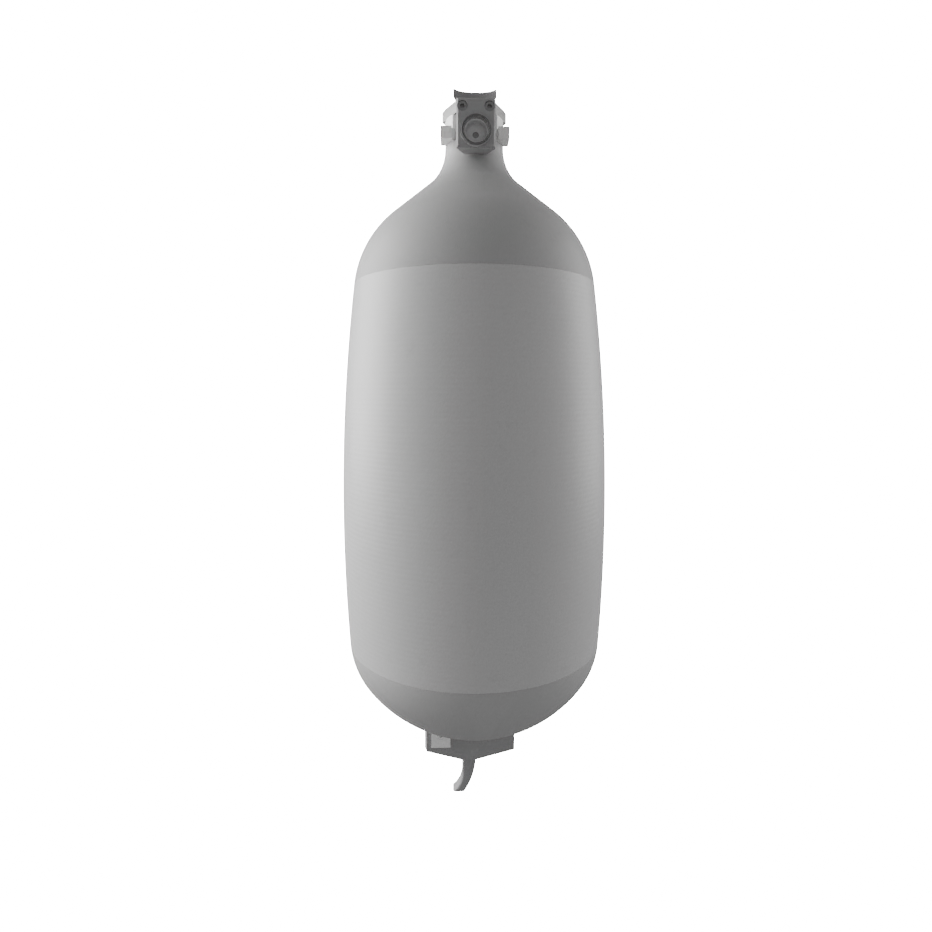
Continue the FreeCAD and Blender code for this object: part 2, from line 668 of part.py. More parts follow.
spindle_round = turned("spindle_round", [
    ("0", "dims.flange_bottom"),
    ("dims.flange_radius", "dims.flange_bottom"),
    ("dims.flange_radius", "dims.flange_top"),
    ("dims.spindle_radius", "dims.flange_top"),
    ("dims.spindle_radius", "dims.wheel_bottom"),
    ("dims.spindle_neck_radius", "dims.wheel_bottom"),
    ("dims.spindle_neck_radius", "dims.cap_washer_bottom"),
    ("dims.spindle_thread_radius", "dims.cap_washer_bottom"),
    ("dims.spindle_thread_radius", "dims.spindle_top"),
    ("0", "dims.spindle_top"),
])
tang = box(
    "tang",
    ("-dims.tang_width / 2", "dims.tang_width / 2"),
    ("-dims.tang_width / 2", "dims.tang_width / 2"),
    ("dims.tang_bottom", "dims.flange_bottom"),
)
drive = box(
    "drive_square_bar",
    ("-dims.drive_square / 2", "dims.drive_square / 2"),
    ("-dims.drive_square / 2", "dims.drive_square / 2"),
    ("dims.wheel_bottom", "dims.hub_floor"),
)
valve_spindle = joined("valve_spindle", [spindle_round, tang, drive])

plug_turning = turned("plug_turning", [
    ("0", "dims.insert_top"),
    ("dims.insert_radius", "dims.insert_top"),
    ("dims.insert_radius", "dims.plug_bottom"),
    ("dims.plug_radius", "dims.plug_bottom"),
    ("dims.plug_radius", "dims.plug_top"),
    ("0", "dims.plug_top"),
])
plug_socket = box(
    "plug_socket",
    ("-dims.plug_socket_width / 2", "dims.plug_socket_width / 2"),
    ("-dims.plug_socket_width / 2", "dims.plug_socket_width / 2"),
    ("dims.plug_socket_floor", "dims.plug_top"),
)
seat_plug = cut("seat_plug", plug_turning, [plug_socket])
seat_insert = cylinder(
    "seat_insert", "dims.insert_radius", "dims.insert_top - dims.insert_bottom",
    z="dims.insert_bottom",
)

# --------------------------------------------------------- handwheel and cap

wheel = doc.addObject("PartDesign::Body", "wheel_blank")
rim = sketch_on(wheel, "XY_Plane", "wheel_rim")
corner = number("dims.wheel_corner")
hollow = number("dims.wheel_hollow")
stand_off = corner + math.sqrt(hollow ** 2 - corner ** 2)
for quarter in range(4):
    turn = FreeCAD.Rotation(V(0, 0, 1), 90 * quarter)
    start = turn.multVec(V(corner, corner, 0))
    end = turn.multVec(V(corner, -corner, 0))
    rim.addGeometry(arc(turn.multVec(V(stand_off, 0, 0)), start, end), False)
for quarter in range(4):
    rim.addConstraint(Sketcher.Constraint("Coincident", quarter, 1, (quarter + 1) % 4, 2))
    measure(rim, "Radius", quarter, "dims.wheel_hollow")
for quarter, (sign_x, sign_y) in enumerate((("", ""), ("-", ""), ("-", "-"), ("", "-"))):
    pin(rim, quarter, 1, sign_x + "dims.wheel_corner", sign_y + "dims.wheel_corner")
rim.setExpression("AttachmentOffset.Base.z", "dims.wheel_bottom")
wheel_pad = wheel.newObject("PartDesign::Pad", "wheel_pad")
wheel_pad.Profile = rim
wheel_pad.setExpression("Length", "dims.wheel_height")
drive_hole = box(
    "drive_hole",
    ("-dims.drive_square_hole / 2", "dims.drive_square_hole / 2"),
    ("-dims.drive_square_hole / 2", "dims.drive_square_hole / 2"),
    ("dims.wheel_bottom - dims.overrun", "dims.hub_floor"),
)
hub_recess = cylinder(
    "hub_recess", "dims.hub_recess_radius", "dims.wheel_height", z="dims.hub_floor",
)
handwheel = cut("handwheel", wheel, [drive_hole, hub_recess])

# conical spring washer that loads the wheel against the cap nut
spring_base = "dims.hub_floor + dims.fine_clearance"
spring_crown = "dims.cap_washer_bottom - dims.fine_clearance"
handwheel_spring = turned("handwheel_spring", [
    ("dims.spring_bore", spring_crown + " - dims.spring_gauge"),
    ("dims.spring_rim", spring_base),
    ("dims.spring_rim", spring_base + " + dims.spring_gauge"),
    ("dims.spring_bore", spring_crown),
])

cap_washer = turned("cap_washer", [
    ("dims.spindle_thread_radius + dims.running_clearance", "dims.cap_washer_bottom"),
    ("dims.cap_washer_radius", "dims.cap_washer_bottom"),
    ("dims.cap_washer_radius", "dims.cap_washer_bottom + dims.cap_washer_thickness"),
    (
        "dims.spindle_thread_radius + dims.running_clearance",
        "dims.cap_washer_bottom + dims.cap_washer_thickness",
    ),
])
cap_nut_bottom = "dims.cap_washer_bottom + dims.cap_washer_thickness"
cap_nut_hex = hexagon(
    "cap_nut_hex", "dims.cap_nut_corner", "dims.cap_nut_height", z=cap_nut_bottom,
)
cap_nut_cone = primitive(
    "Cone", "cap_nut_cone",
    {
        "Radius1": "dims.cap_nut_corner + dims.cap_nut_height - dims.cap_nut_chamfer",
        "Radius2": "dims.cap_nut_corner - dims.cap_nut_chamfer",
        "Height": "dims.cap_nut_height",
    },
    z=cap_nut_bottom,
)
cap_nut_bore = cylinder(
    "cap_nut_bore", "dims.spindle_thread_radius",
    "dims.spindle_top - (%s) + dims.loose_clearance" % cap_nut_bottom, z=cap_nut_bottom,
)
cap_nut = cut("cap_nut", common("cap_nut_crown", cap_nut_hex, cap_nut_cone), [cap_nut_bore])

# -------------------------------------------------------------- outlet_block

block_blank = doc.addObject("PartDesign::Body", "block_blank")
side_view = sketch_on(block_blank, "YZ_Plane", "block_side_view")
polygon(side_view, [
    ("-dims.block_front", "dims.block_bottom"),
    ("-dims.block_relief", "dims.block_bottom"),
    ("-dims.block_relief", "dims.block_foot"),
    ("-dims.block_seat", "dims.block_foot"),
    ("-dims.block_seat", "dims.block_shoulder"),
    ("-dims.block_relief", "dims.block_shoulder"),
    ("-dims.block_relief", "dims.block_top"),
    ("-dims.block_front", "dims.block_top"),
])
block_pad = block_blank.newObject("PartDesign::Pad", "block_pad")
block_pad.Profile = side_view
block_pad.SideType = "Symmetric"
block_pad.setExpression("Length", "2 * dims.block_half")
doc.recompute()
front_y = -number("dims.block_front")
front_edges = []
for index, edge in enumerate(block_pad.Shape.Edges, start=1):
    if all(abs(vertex.Y - front_y) < 0.01 for vertex in edge.Vertexes):
        front_edges.append("Edge%d" % index)
block_bevel = block_blank.newObject("PartDesign::Chamfer", "block_bevel")
block_bevel.Base = (block_pad, front_edges)
block_bevel.setExpression("Size", "dims.block_chamfer")
foot_cuts = []
for side, sign in (("left", "-"), ("right", "")):
    wedge = doc.addObject("PartDesign::Body", "foot_wedge_" + side)
    plan = sketch_on(wedge, "XY_Plane", "foot_plan_" + side)
    polygon(plan, [
        (sign + "dims.block_half", "-dims.block_lip"),
        (sign + "1.1 * dims.block_half", "-dims.block_lip"),
        (sign + "1.1 * dims.block_half", "dims.overrun - dims.block_relief"),
        (sign + "dims.block_foot_half", "dims.overrun - dims.block_relief"),
    ])
    plan.setExpression("AttachmentOffset.Base.z", "dims.block_bottom - dims.overrun")
    wedge_pad = wedge.newObject("PartDesign::Pad", "foot_wedge_pad_" + side)
    wedge_pad.Profile = plan
    wedge_pad.setExpression("Length", "dims.block_foot - dims.block_bottom + dims.overrun")
    foot_cuts.append(wedge)
sealing_boss = cylinder(
    "sealing_boss", "dims.outlet_boss_radius", "dims.outlet_boss_height + 2 * dims.overrun",
    y="2 * dims.overrun - dims.block_front", z="dims.outlet_height", along="front",
)
outlet_front = "-dims.block_front - dims.outlet_boss_height"
seal_recess_inner = "dims.outlet_seal_radius - dims.outlet_seal_wire - dims.loose_clearance"
outlet_bore = turned(
    "outlet_bore",
    [
        ("0", "-dims.outlet_depth"),
        ("dims.outlet_radius", "-dims.outlet_depth"),
        ("dims.outlet_radius", "-dims.outlet_seal_wire * 2"),
        (seal_recess_inner, "-dims.outlet_seal_wire * 2"),
        (seal_recess_inner, "dims.overrun"),
        ("0", "dims.overrun"),
    ],
    y=outlet_front, z="dims.outlet_height", along="front",
)
seal_groove = turned(
    "outlet_seal_groove",
    [
        ("dims.outlet_seal_radius - dims.outlet_seal_wire", "-1.3 * dims.outlet_seal_wire"),
        ("dims.outlet_seal_radius + dims.outlet_seal_wire", "-1.3 * dims.outlet_seal_wire"),
        ("dims.outlet_seal_radius + dims.outlet_seal_wire", "dims.overrun"),
        ("dims.outlet_seal_radius - dims.outlet_seal_wire", "dims.overrun"),
    ],
    y=outlet_front, z="dims.outlet_height", along="front",
)
rear_port = cylinder(
    "rear_port", "dims.port_radius", "dims.drilling_front - dims.block_seat + dims.overrun",
    y="dims.overrun - dims.block_seat", z="dims.port_height", along="front",
)
port_groove_depth = "1.5"
port_groove = cylinder(
    "port_groove", "dims.port_radius + dims.port_groove_width", port_groove_depth,
    y="-dims.block_seat", z="dims.port_height", along="front",
)
drilling = cylinder(
    "drilling", "dims.port_radius", "dims.block_top - dims.outlet_height",
    y="-dims.drilling_front", z="dims.outlet_height",
)
drilling_mouth = cylinder(
    "drilling_mouth", "dims.plug_screw_radius", "dims.plug_screw_length + dims.overrun",
    y="-dims.drilling_front", z="dims.block_top - dims.plug_screw_length",
)
block_screw_holes = []
for side, sign in (("left", "-"), ("right", "")):
    screw_x = sign + "dims.block_screw_spacing"
    shank_hole = cylinder(
        "shank_hole_" + side, "dims.block_screw_radius + dims.loose_clearance", "dims.block_front",
        x=screw_x, z="dims.block_screw_height", along="front",
    )
    head_hole = cylinder(
        "head_hole_" + side, "dims.block_screw_head + dims.loose_clearance",
        "dims.block_screw_sink + dims.overrun",
        x=screw_x, y="dims.block_screw_sink - dims.block_front",
        z="dims.block_screw_height", along="front",
    )
    block_screw_holes += [shank_hole, head_hole]
outlet_block = cut(
    "outlet_block",
    joined("block_with_boss", [block_blank, sealing_boss]),
    [outlet_bore, seal_groove, rear_port, port_groove, drilling, drilling_mouth]
    + block_screw_holes + foot_cuts,
)
outlet_o_ring = o_ring(
    "outlet_o_ring", "dims.outlet_seal_radius", "dims.outlet_seal_wire - dims.fine_clearance",
    y="-dims.block_front - dims.outlet_boss_height + 0.3 * dims.outlet_seal_wire",
    z="dims.outlet_height", along="front",
)
port_o_ring = o_ring(
    "port_o_ring", "dims.port_radius + dims.port_seal_wire",
    "dims.port_seal_wire / 2 - dims.fine_clearance",
    y="-dims.block_seat - dims.port_seal_wire / 2", z="dims.port_height", along="front",
)
drilling_screw_blank = cylinder(
    "drilling_screw_blank", "dims.plug_screw_radius", "dims.plug_screw_length",
    y="-dims.drilling_front", z="dims.block_top - dims.plug_screw_length",
)
drilling_screw_socket = hexagon(
    "drilling_screw_socket", "dims.hex_socket", "dims.plug_screw_length / 2 + dims.overrun",
    y="-dims.drilling_front", z="dims.block_top - dims.plug_screw_length / 2",
)
drilling_screw = cut("drilling_screw", drilling_screw_blank, [drilling_screw_socket])


def socket_screw(name, radius, head, head_height, shank, socket, **where):
    """Cap screw: its own Z points out of the head, its origin under the head."""
    blank = turned(
        name + "_blank",
        [
            ("0", "-(%s)" % shank),
            (radius, "-(%s)" % shank),
            (radius, "dims.datum"),
            (head, "dims.datum"),
            (head, head_height),
            ("0", head_height),
        ],
        **where,
    )
    key = hexagon(name + "_key", socket, "(%s) + dims.overrun" % head_height, **where)
    lift = "(%s) / 2" % head_height
    if where["along"] == "front":
        key.setExpression("Placement.Base.y", "(%s) - (%s)" % (where["y"], lift))
    else:
        key.setExpression("Placement.Base.z", "(%s) - (%s)" % (where["z"], lift))
    return cut(name, blank, [key])


block_screw_pair = []
for side, sign in (("left", "-"), ("right", "")):
    screw = socket_screw(
        "block_screw_" + side, "dims.block_screw_radius", "dims.block_screw_head",
        "dims.block_screw_head_height",
        "dims.block_front - dims.block_screw_sink - dims.block_screw_tip",
        "dims.hex_socket",
        x=sign + "dims.block_screw_spacing",
        y="dims.block_screw_sink - dims.block_front",
        z="dims.block_screw_height", along="front",
    )
    block_screw_pair.append(screw)

# ------------------------------------------------------ burst disc assembly

disc_top = "dims.burst_seat + dims.burst_disc_thickness"
gasket_top = disc_top + " + dims.burst_gasket_thickness"
burst_disc = cylinder(
    "burst_disc", "dims.burst_thread_radius", "dims.burst_disc_thickness",
    y="dims.burst_seat", z="dims.burst_height", along="back",
)
burst_gasket = turned(
    "burst_gasket",
    [
        ("dims.port_radius", "dims.datum"),
        ("dims.burst_thread_radius", "dims.datum"),
        ("dims.burst_thread_radius", "dims.burst_gasket_thickness"),
        ("dims.port_radius", "dims.burst_gasket_thickness"),
    ],
    y=disc_top, z="dims.burst_height", along="back",
)
burst_thread = cylinder(
    "burst_thread", "dims.burst_thread_radius", "dims.trunk_radius + 0.3 - (%s)" % gasket_top,
    y=gasket_top, z="dims.burst_height", along="back",
)
burst_head = hexagon(
    "burst_head", "dims.burst_head_corner", "dims.burst_head_height",
    y="dims.trunk_radius + 0.3", z="dims.burst_height", along="back",
)
burst_vent = cylinder(
    "burst_vent", "dims.burst_vent_radius", "2 * dims.trunk_radius",
    y=gasket_top, z="dims.burst_height", along="back",
)
burst_plug = cut("burst_plug", joined("burst_plug_blank", [burst_thread, burst_head]), [burst_vent])

# ---------------------------------------------------- hooked base bracket

bracket_blank = doc.addObject("PartDesign::Body", "bracket_blank")
arms = sketch_on(bracket_blank, "XZ_Plane", "arms_front_view")
arm_top = "dims.cap_height - dims.cap_radius / 2"
polygon(arms, [
    ("dims.bracket_left", "dims.bracket_foot"),
    ("dims.tail_left", "dims.bracket_waist"),
    ("dims.tail_right", "dims.bracket_waist"),
    ("dims.bracket_right", "dims.bracket_foot"),
    ("dims.bracket_right", arm_top),
    ("dims.bracket_left", arm_top),
])
arms_pad = bracket_blank.newObject("PartDesign::Pad", "arms_pad")
arms_pad.Profile = arms
arms_pad.SideType = "Symmetric"
arms_pad.setExpression("Length", "2 * dims.bracket_half_depth")
doc.recompute()
left_x = number("dims.bracket_left")
left_edges = []
for index, edge in enumerate(arms_pad.Shape.Edges, start=1):
    upright = abs(edge.Vertexes[0].Z - edge.Vertexes[-1].Z) > 1
    if upright and all(abs(vertex.X - left_x) < 0.01 for vertex in edge.Vertexes):
        left_edges.append("Edge%d" % index)
cut_corners = bracket_blank.newObject("PartDesign::Chamfer", "cut_corners")
cut_corners.Base = (arms_pad, left_edges)
cut_corners.ChamferType = "Two distances"
cut_corners.setExpression("Size", "dims.bracket_chamfer")
cut_corners.setExpression("Size2", "dims.bracket_chamfer_depth")

tail = doc.addObject("PartDesign::Body", "tail")
tail_view = sketch_on(tail, "XZ_Plane", "tail_front_view")
tail_root = number("dims.bracket_waist") + 2
end_level = number("dims.tail_end")
sides = []
for side, kind in (("left", "inner"), ("right", "outer")):
    radius = number("dims.tail_%s_radius" % kind)
    top = V(number("dims.tail_" + side), number("dims.tail_%s_top" % kind), 0)
    centre = top - V(radius, 0, 0)
    drop = centre.y - end_level
    tip = V(centre.x + math.sqrt(radius ** 2 - drop ** 2), end_level, 0)
    edge = tail_view.addGeometry(arc(centre, tip, top), False)
    measure(tail_view, "Radius", edge, "dims.tail_%s_radius" % kind)
    centre_x = "dims.tail_%s - dims.tail_%s_radius" % (side, kind)
    pin(tail_view, edge, 3, x=centre_x, y="dims.tail_%s_top" % kind)
    pin(tail_view, edge, 1, y="dims.tail_end")
    pin(tail_view, edge, 2, y="dims.tail_%s_top" % kind)
    sides.append((tip, top))
(left_tip, left_top), (right_tip, right_top) = sides
left_root = V(left_top.x, tail_root, 0)
right_root = V(right_top.x, tail_root, 0)
for start, end in (
    (right_top, right_root), (right_root, left_root), (left_root, left_top),
    (left_tip, right_tip),
):
    tail_view.addGeometry(Part.LineSegment(start, end), False)
for edge, end, follows, start in (
    (1, 2, 2, 1), (2, 2, 3, 1), (3, 2, 4, 1), (4, 2, 0, 2), (0, 1, 5, 1), (5, 2, 1, 1),
):
    tail_view.addConstraint(Sketcher.Constraint("Coincident", edge, end, follows, start))
pin(tail_view, 2, 2, "dims.tail_right", "dims.bracket_waist + 2")
pin(tail_view, 3, 2, "dims.tail_left", "dims.bracket_waist + 2")
tail_pad = tail.newObject("PartDesign::Pad", "tail_pad")
tail_pad.Profile = tail_view
tail_pad.SideType = "Symmetric"
tail_pad.setExpression("Length", "2 * dims.tail_half_depth")
doc.recompute()
round_edges = []
for index, edge in enumerate(tail_pad.Shape.Edges, start=1):
    middle = edge.CenterOfMass
    on_side = abs(abs(middle.y) - number("dims.tail_half_depth")) < 0.01
    if on_side and end_level + 1 < middle.z < tail_root - 1:
        round_edges.append("Edge%d" % index)
tail_rounding = tail.newObject("PartDesign::Fillet", "tail_rounding")
tail_rounding.Base = (tail_pad, round_edges)
tail_rounding.setExpression("Radius", "dims.tail_rounding")

pad_sphere = primitive(
    "Sphere", "pad_sphere", {"Radius": "dims.cap_radius + dims.pad_thickness"},
    z="dims.cap_height",
)
bracket_screw_holes = []
bracket_screw_pair = []
for side in ("left", "right"):
    screw_x = "dims.bracket_screw_" + side
    base_level = "dims.cap_height - sqrt(dims.cap_radius ^ 2 - (%s) ^ 2)" % screw_x
    under_head = base_level + " - dims.bracket_screw_grip"
    shank_hole = cylinder(
        "bracket_shank_hole_" + side, "dims.bracket_screw_radius + 0.2",
        "dims.bracket_screw_grip + 2", x=screw_x, z=under_head,
    )
    head_hole = cylinder(
        "bracket_head_hole_" + side, "dims.bracket_screw_head + 0.3", "60",
        x=screw_x, z=under_head, along="down",
    )
    bracket_screw_holes += [shank_hole, head_hole]
    screw = socket_screw(
        "bracket_screw_" + side, "dims.bracket_screw_radius", "dims.bracket_screw_head",
        "dims.bracket_screw_head_height",
        "dims.bracket_screw_grip + dims.bracket_screw_bite", "2 * dims.hex_socket",
        x=screw_x, z=under_head, along="down",
    )
    screw_key = doc.getObject("bracket_screw_%s_key" % side)
    screw_key.setExpression(
        "Placement.Base.z", "%s - dims.bracket_screw_head_height / 2" % under_head,
    )
    bracket_screw_pair.append(screw)

clip_middle = "dims.clip_left + dims.clip_width / 2"
clip_screw_height = "dims.clip_bottom + dims.clip_height - dims.clip_screw_head"
clip_screw_hole = cylinder(
    "clip_screw_hole", "dims.clip_screw_radius", "dims.clip_screw_length",
    x=clip_middle, y="dims.clip_screw_length - dims.clip_thickness - dims.bracket_half_depth",
    z=clip_screw_height, along="front",
)
hook_bracket = cut(
    "hook_bracket",
    joined("bracket_with_tail", [bracket_blank, tail]),
    [pad_sphere] + bracket_screw_holes + [clip_screw_hole],
)

# rubber pad: the shell of the sphere between the bracket and the base
pad_block = box(
    "pad_block",
    ("dims.bracket_left + dims.bracket_chamfer", "dims.bracket_right"),
    ("-dims.bracket_half_depth", "dims.bracket_half_depth"),
    ("dims.cap_height - dims.cap_radius - 2 * dims.pad_thickness", arm_top),
)
pad_ball = primitive(
    "Sphere", "pad_ball", {"Radius": "dims.cap_radius + dims.pad_thickness"},
    z="dims.cap_height",
)
base_ball = primitive("Sphere", "base_ball", {"Radius": "dims.cap_radius"}, z="dims.cap_height")
pad_holes = []
for side in ("left", "right"):
    hole = cylinder(
        "pad_hole_" + side, "dims.bracket_screw_radius", "2 * dims.cap_radius",
        x="dims.bracket_screw_" + side, z="-2 * dims.cap_radius - 60",
    )
    pad_holes.append(hole)
bracket_pad = cut(
    "bracket_pad", common("pad_cap", pad_block, pad_ball), [base_ball] + pad_holes,
)

# ------------------------------------------------------------ retaining_clip

clip_plate = box(
    "clip_plate",
    ("dims.clip_left", "dims.clip_left + dims.clip_width"),
    ("-dims.bracket_half_depth - dims.clip_thickness", "-dims.bracket_half_depth"),
    ("dims.clip_bottom", "dims.clip_bottom + dims.clip_height"),
)
clip_hole = cylinder(
    "clip_hole", "dims.clip_screw_radius", "4 * dims.bracket_half_depth",
    x=clip_middle, z=clip_screw_height, along="front",
)
retaining_clip = cut("retaining_clip", clip_plate, [clip_hole])
clip_screw = socket_screw(
    "clip_screw", "dims.clip_screw_radius", "dims.clip_screw_head",
    "dims.clip_screw_head_height", "dims.clip_screw_length", "0.6 * dims.hex_socket",
    x=clip_middle, y="-dims.bracket_half_depth - dims.clip_thickness",
    z=clip_screw_height, along="front",
)

# ------------------------------------------------------------- check, export

doc.recompute()

NODES = {
    "cylinder_shell": [tapped_shell],
    "composite_wrap": [wrap],
    "valve_body": [valve_body],
    "neck_o_ring": [neck_o_ring],
    "dip_tube": [dip_tube],
    "bonnet_nut": [bonnet_nut],
    "bonnet_o_ring": [bonnet_o_ring],
    "spindle_o_ring": [spindle_o_ring],
    "thrust_washer": [thrust_washer],
    "valve_spindle": [valve_spindle],
    "seat_plug": [seat_plug],
    "seat_insert": [seat_insert],
    "handwheel": [handwheel],
    "handwheel_spring": [handwheel_spring],
    "cap_washer": [cap_washer],
    "cap_nut": [cap_nut],
    "outlet_block": [outlet_block],
    "outlet_o_ring": [outlet_o_ring],
    "port_o_ring": [port_o_ring],
    "drilling_screw": [drilling_screw],
    "block_screws": block_screw_pair,
    "burst_disc": [burst_disc],
    "burst_gasket": [burst_gasket],
    "burst_plug": [burst_plug],
    "hook_bracket": [hook_bracket],
    "bracket_pad": [bracket_pad],
    "bracket_screws": bracket_screw_pair,
    "retaining_clip": [retaining_clip],
    "clip_screw": [clip_screw],
}

for item in doc.Objects:
    if "Invalid" in item.State or "Error" in item.State:
        raise RuntimeError("failed to build: " + item.Name)

for label, members in NODES.items():
    if len(members) > 1:
        node = doc.addObject("Part::Compound", label)
        node.Links = members
        doc.recompute()
    else:
        node = members[0]
    node.Label = label
    if node.Shape.isNull() or not node.Shape.isValid() or node.Shape.Volume <= 0:
        raise RuntimeError("bad shape: " + label)
    if len(node.Shape.Solids) != len(members):
        raise RuntimeError("%s has %d solids" % (label, len(node.Shape.Solids)))
    node.Shape.exportStep("parts/%s.step" % label)
    print("%-18s %12.1f mm3" % (label, node.Shape.Volume))
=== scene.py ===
import math
import bmesh
import bpy
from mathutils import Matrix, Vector


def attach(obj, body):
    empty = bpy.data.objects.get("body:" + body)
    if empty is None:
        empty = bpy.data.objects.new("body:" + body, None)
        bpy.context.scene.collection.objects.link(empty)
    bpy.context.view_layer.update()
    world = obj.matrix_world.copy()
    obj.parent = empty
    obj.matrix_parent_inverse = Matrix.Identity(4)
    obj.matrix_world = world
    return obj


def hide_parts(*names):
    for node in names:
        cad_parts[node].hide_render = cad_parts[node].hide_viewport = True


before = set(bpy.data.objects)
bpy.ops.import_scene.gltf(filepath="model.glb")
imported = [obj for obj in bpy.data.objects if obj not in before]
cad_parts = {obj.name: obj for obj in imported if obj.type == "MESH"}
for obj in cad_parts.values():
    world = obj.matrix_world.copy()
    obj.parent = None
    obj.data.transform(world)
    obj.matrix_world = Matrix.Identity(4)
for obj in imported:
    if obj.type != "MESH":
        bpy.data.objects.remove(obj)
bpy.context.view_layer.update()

scene = bpy.context.scene

# ------------------------------------------------------------------ studio
# A pale sweep far behind and under the cylinder, a tall soft light close on
# its left, a weaker one on its right and little from the front and below, so
# that the barrel is bright at both sides and dim down its middle.


def plain_material(name, colour, roughness):
    """A material with its colour and roughness set, and its shader node."""
    material = bpy.data.materials.new(name)
    material.use_nodes = True
    shader = material.node_tree.nodes["Principled BSDF"]
    shader.inputs["Base Color"].default_value = (*colour, 1)
    shader.inputs["Roughness"].default_value = roughness
    return material, shader


def soft_light(name, place, aim, width, height, watts):
    """A rectangular area light, facing aim."""
    data = bpy.data.lights.new(name, "AREA")
    data.shape = "RECTANGLE"
    data.size = width
    data.size_y = height
    data.energy = watts
    lamp = bpy.data.objects.new(name, data)
    scene.collection.objects.link(lamp)
    lamp.location = place
    lamp.rotation_euler = (Vector(aim) - Vector(place)).to_track_quat("-Z", "Y").to_euler()
    return lamp


soft_light("left_softbox", (-1.24, 0.26, 0.4), (0, 0, 0.06), 1.0, 1.3, 47)
soft_light("right_softbox", (1.32, 0.4, 0.35), (0, 0, 0.04), 0.9, 1.3, 15)
soft_light("front_fill", (0.2, -2.2, 0.5), (0, 0, 0), 1.6, 1.6, 4)
soft_light("floor_bounce", (0, -1.0, -1.1), (0, 0, -0.2), 1.6, 1.0, 2.2)

white_strength = 30  # bright enough for the backdrop to be seen as pure white
world = bpy.data.worlds.new("pale_room")
world.use_nodes = True
room_nodes = world.node_tree.nodes
room_links = world.node_tree.links
room_light = room_nodes["Background"]
room_light.inputs["Color"].default_value = (1, 1, 1, 1)
room_light.inputs["Strength"].default_value = 0.25
seen_room = room_nodes.new("ShaderNodeBackground")
seen_room.inputs["Color"].default_value = (1, 1, 1, 1)
seen_room.inputs["Strength"].default_value = white_strength
ray = room_nodes.new("ShaderNodeLightPath")
either = room_nodes.new("ShaderNodeMixShader")
room_links.new(ray.outputs["Is Camera Ray"], either.inputs["Fac"])
room_links.new(room_light.outputs["Background"], either.inputs[1])
room_links.new(seen_room.outputs["Background"], either.inputs[2])
room_links.new(either.outputs["Shader"], room_nodes["World Output"].inputs["Surface"])
scene.world = world

sweep = bmesh.new()
bend_radius = 1.2
bend_steps = 24
floor_level = -0.75
floor_reach = 6
wall_distance = 3.2
wall_height = 6
sweep_half_width = 8
profile = [sweep.verts.new((0, -floor_reach, floor_level))]
for step in range(bend_steps + 1):
    angle = math.radians(90 * step / bend_steps)
    profile.append(sweep.verts.new((
        0,
        wall_distance - bend_radius + bend_radius * math.sin(angle),
        floor_level + bend_radius - bend_radius * math.cos(angle),
    )))
profile.append(sweep.verts.new((0, wall_distance, wall_height)))
edges = [sweep.edges.new(pair) for pair in zip(profile, profile[1:])]
grown = bmesh.ops.extrude_edge_only(sweep, edges=edges)["geom"]
far_side = [item for item in grown if isinstance(item, bmesh.types.BMVert)]
bmesh.ops.translate(sweep, verts=far_side, vec=(sweep_half_width, 0, 0))
bmesh.ops.translate(sweep, verts=profile, vec=(-sweep_half_width, 0, 0))
bmesh.ops.recalc_face_normals(sweep, faces=sweep.faces)
sweep_mesh = bpy.data.meshes.new("studio_sweep")
sweep.to_mesh(sweep_mesh)
sweep.free()
sweep_mesh.shade_smooth()
sweep_object = bpy.data.objects.new("studio_sweep", sweep_mesh)
scene.collection.objects.link(sweep_object)
paper, paper_shader = plain_material("white_paper", (0.95, 0.95, 0.95), 0.9)
paper_shader.inputs["Emission Color"].default_value = (1, 1, 1, 1)
paper_shader.inputs["Emission Strength"].default_value = white_strength
sweep_mesh.materials.append(paper)
sweep_object.visible_diffuse = False
sweep_object.visible_glossy = False

# ------------------------------------------------------------------ camera
# A wide lens close to the barrel, a little above its middle and looking
# slightly down, so the valve is seen from below and the base from above.

camera_distance = 0.4622
camera_height = 0.0537
camera_turn = math.radians(2.0)
camera_pitch = math.radians(3.0)
camera_data = bpy.data.cameras.new("camera")
camera_data.sensor_width = 36
camera_data.lens = 22.53
camera_data.shift_x = -0.0088
camera_data.shift_y = -0.0505
camera_data.clip_start = 0.01
camera = bpy.data.objects.new("camera", camera_data)
scene.collection.objects.link(camera)
camera.location = (
    -camera_distance * math.sin(camera_turn),
    -camera_distance * math.cos(camera_turn),
    camera_height,
)
camera.rotation_euler = (math.radians(90) - camera_pitch, 0, -camera_turn)
scene.camera = camera

# --------------------------------------------------------- pressure shell
# Spun and drawn aluminium shell: a rounded base, a shallow recess for the
# wrap, a convex shoulder and a neck turned for the valve. Satin grey coating.


